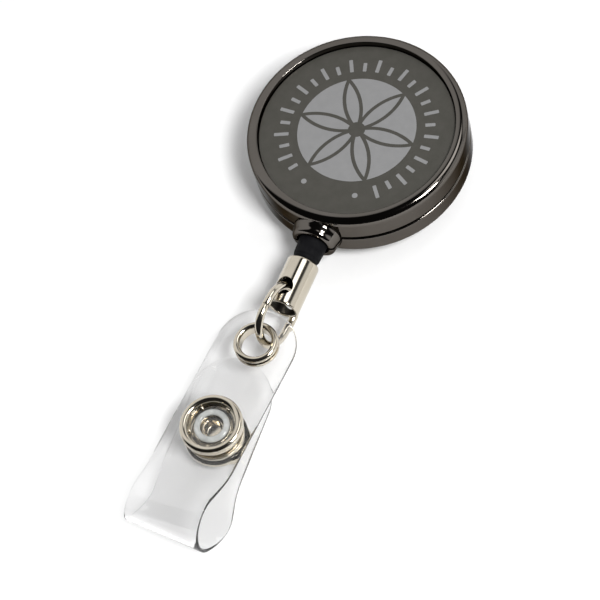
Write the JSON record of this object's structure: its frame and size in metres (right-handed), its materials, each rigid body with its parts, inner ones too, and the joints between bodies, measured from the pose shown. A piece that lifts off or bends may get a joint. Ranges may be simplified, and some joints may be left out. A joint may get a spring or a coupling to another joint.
{
  "type": "retractable badge reel",
  "caption": "Round metal cord reel with a printed face, a belt slip clip, a swivel fitting and a clear snap strap for an identity card.",
  "frame": {"origin": "centre of the printed face disc, on the spool axis", "axes": "+Z out of the face, -Y along the cord where it leaves the case, +X to the right"},
  "size_m": [0.033, 0.0832, 0.0128],
  "materials": {
    "gunmetal": "polished dark gunmetal plating",
    "face_paint": "satin dark grey print with a lighter pattern",
    "adhesive": "soft",
    "nickel": "polished nickel plating",
    "clip_steel": "stamped bright steel",
    "post_steel": "turned steel",
    "spring_steel": "blued spring steel",
    "clear_vinyl": "clear glossy flexible sheet",
    "black_rubber": "matte",
    "black_nylon": "satin",
    "white_acetal": "smooth",
    "black_cord": "braided nylon"
  },
  "bodies": {
    "casing": {"front_cover": "gunmetal", "back_cover": "gunmetal", "face_disc": "face_paint", "face_adhesive": "adhesive", "nozzle_bushing": "black_nylon", "spindle": "post_steel", "spindle_screw": "post_steel", "washer_front": "post_steel", "washer_back": "post_steel", "cord_lead": "black_cord", "clip_base": "clip_steel", "clip_rivet": "clip_steel", "rivet_washer": "clip_steel"},
    "spool": {"spool": "white_acetal", "spool_cap": "white_acetal", "main_spring": "spring_steel", "cord_wound": "black_cord"},
    "cord_end": {"bumper_sleeve": "black_rubber", "cord_tail": "black_cord", "cord_knot": "black_cord", "cord_crimp": "nickel"},
    "fitting": {"end_barrel": "nickel"},
    "link": {"link_ring": "nickel"},
    "strap": {"strap_upper": "clear_vinyl", "strap_eyelet": "nickel", "snap_ring_top": "nickel", "snap_socket": "nickel", "snap_spring": "spring_steel"},
    "flap": {"strap_flap": "clear_vinyl", "snap_stud": "nickel", "snap_ring_bottom": "nickel"},
    "clip": {"clip_leaf": "clip_steel"}
  },
  "joints": [
    {"name": "cord_pull", "type": "slide", "parent": "casing", "child": "cord_end", "axis": [0, -1, 0], "range_m": [0, 0.8], "stiffness_N_per_m": 0.6, "springref_m": -0.7, "deforming": ["cord_tail"]},
    {"name": "spool_spin", "type": "hinge", "parent": "casing", "child": "spool", "pos_m": [0, 0, -0.0044], "axis": [0, 0, -1], "range_deg": [0, 4356.5], "deforming": ["main_spring"]},
    {"name": "fitting_swivel", "type": "hinge", "parent": "cord_end", "child": "fitting", "pos_m": [0, -0.025, -0.0035], "axis": [0, -1, 0], "continuous": true},
    {"name": "link_swing", "type": "hinge", "parent": "fitting", "child": "link", "pos_m": [0, -0.0269, -0.0035], "axis": [-0.2756, 0, 0.9613], "range_deg": [-5, 15]},
    {"name": "strap_swing", "type": "hinge", "parent": "link", "child": "strap", "pos_m": [-0.0004, -0.03163, -0.00361], "axis": [0.9576, -0.0872, 0.2746], "range_deg": [-70, 70]},
    {"name": "flap_open", "type": "hinge", "parent": "strap", "child": "flap", "pos_m": [-0.0033, -0.06615, -0.0063], "axis": [-0.9982, 0.0593, 0], "range_deg": [0, 100]},
    {"name": "clip_flex", "type": "hinge", "parent": "casing", "child": "clip", "pos_m": [0, 0.01384, -0.01152], "axis": [1, 0, 0], "range_deg": [0, 8], "stiffness_Nm_per_rad": 0.05}
  ],
  "couplings": [
    {"joint": "spool_spin", "follows": "cord_pull", "rad_per_m": 95}
  ]
}
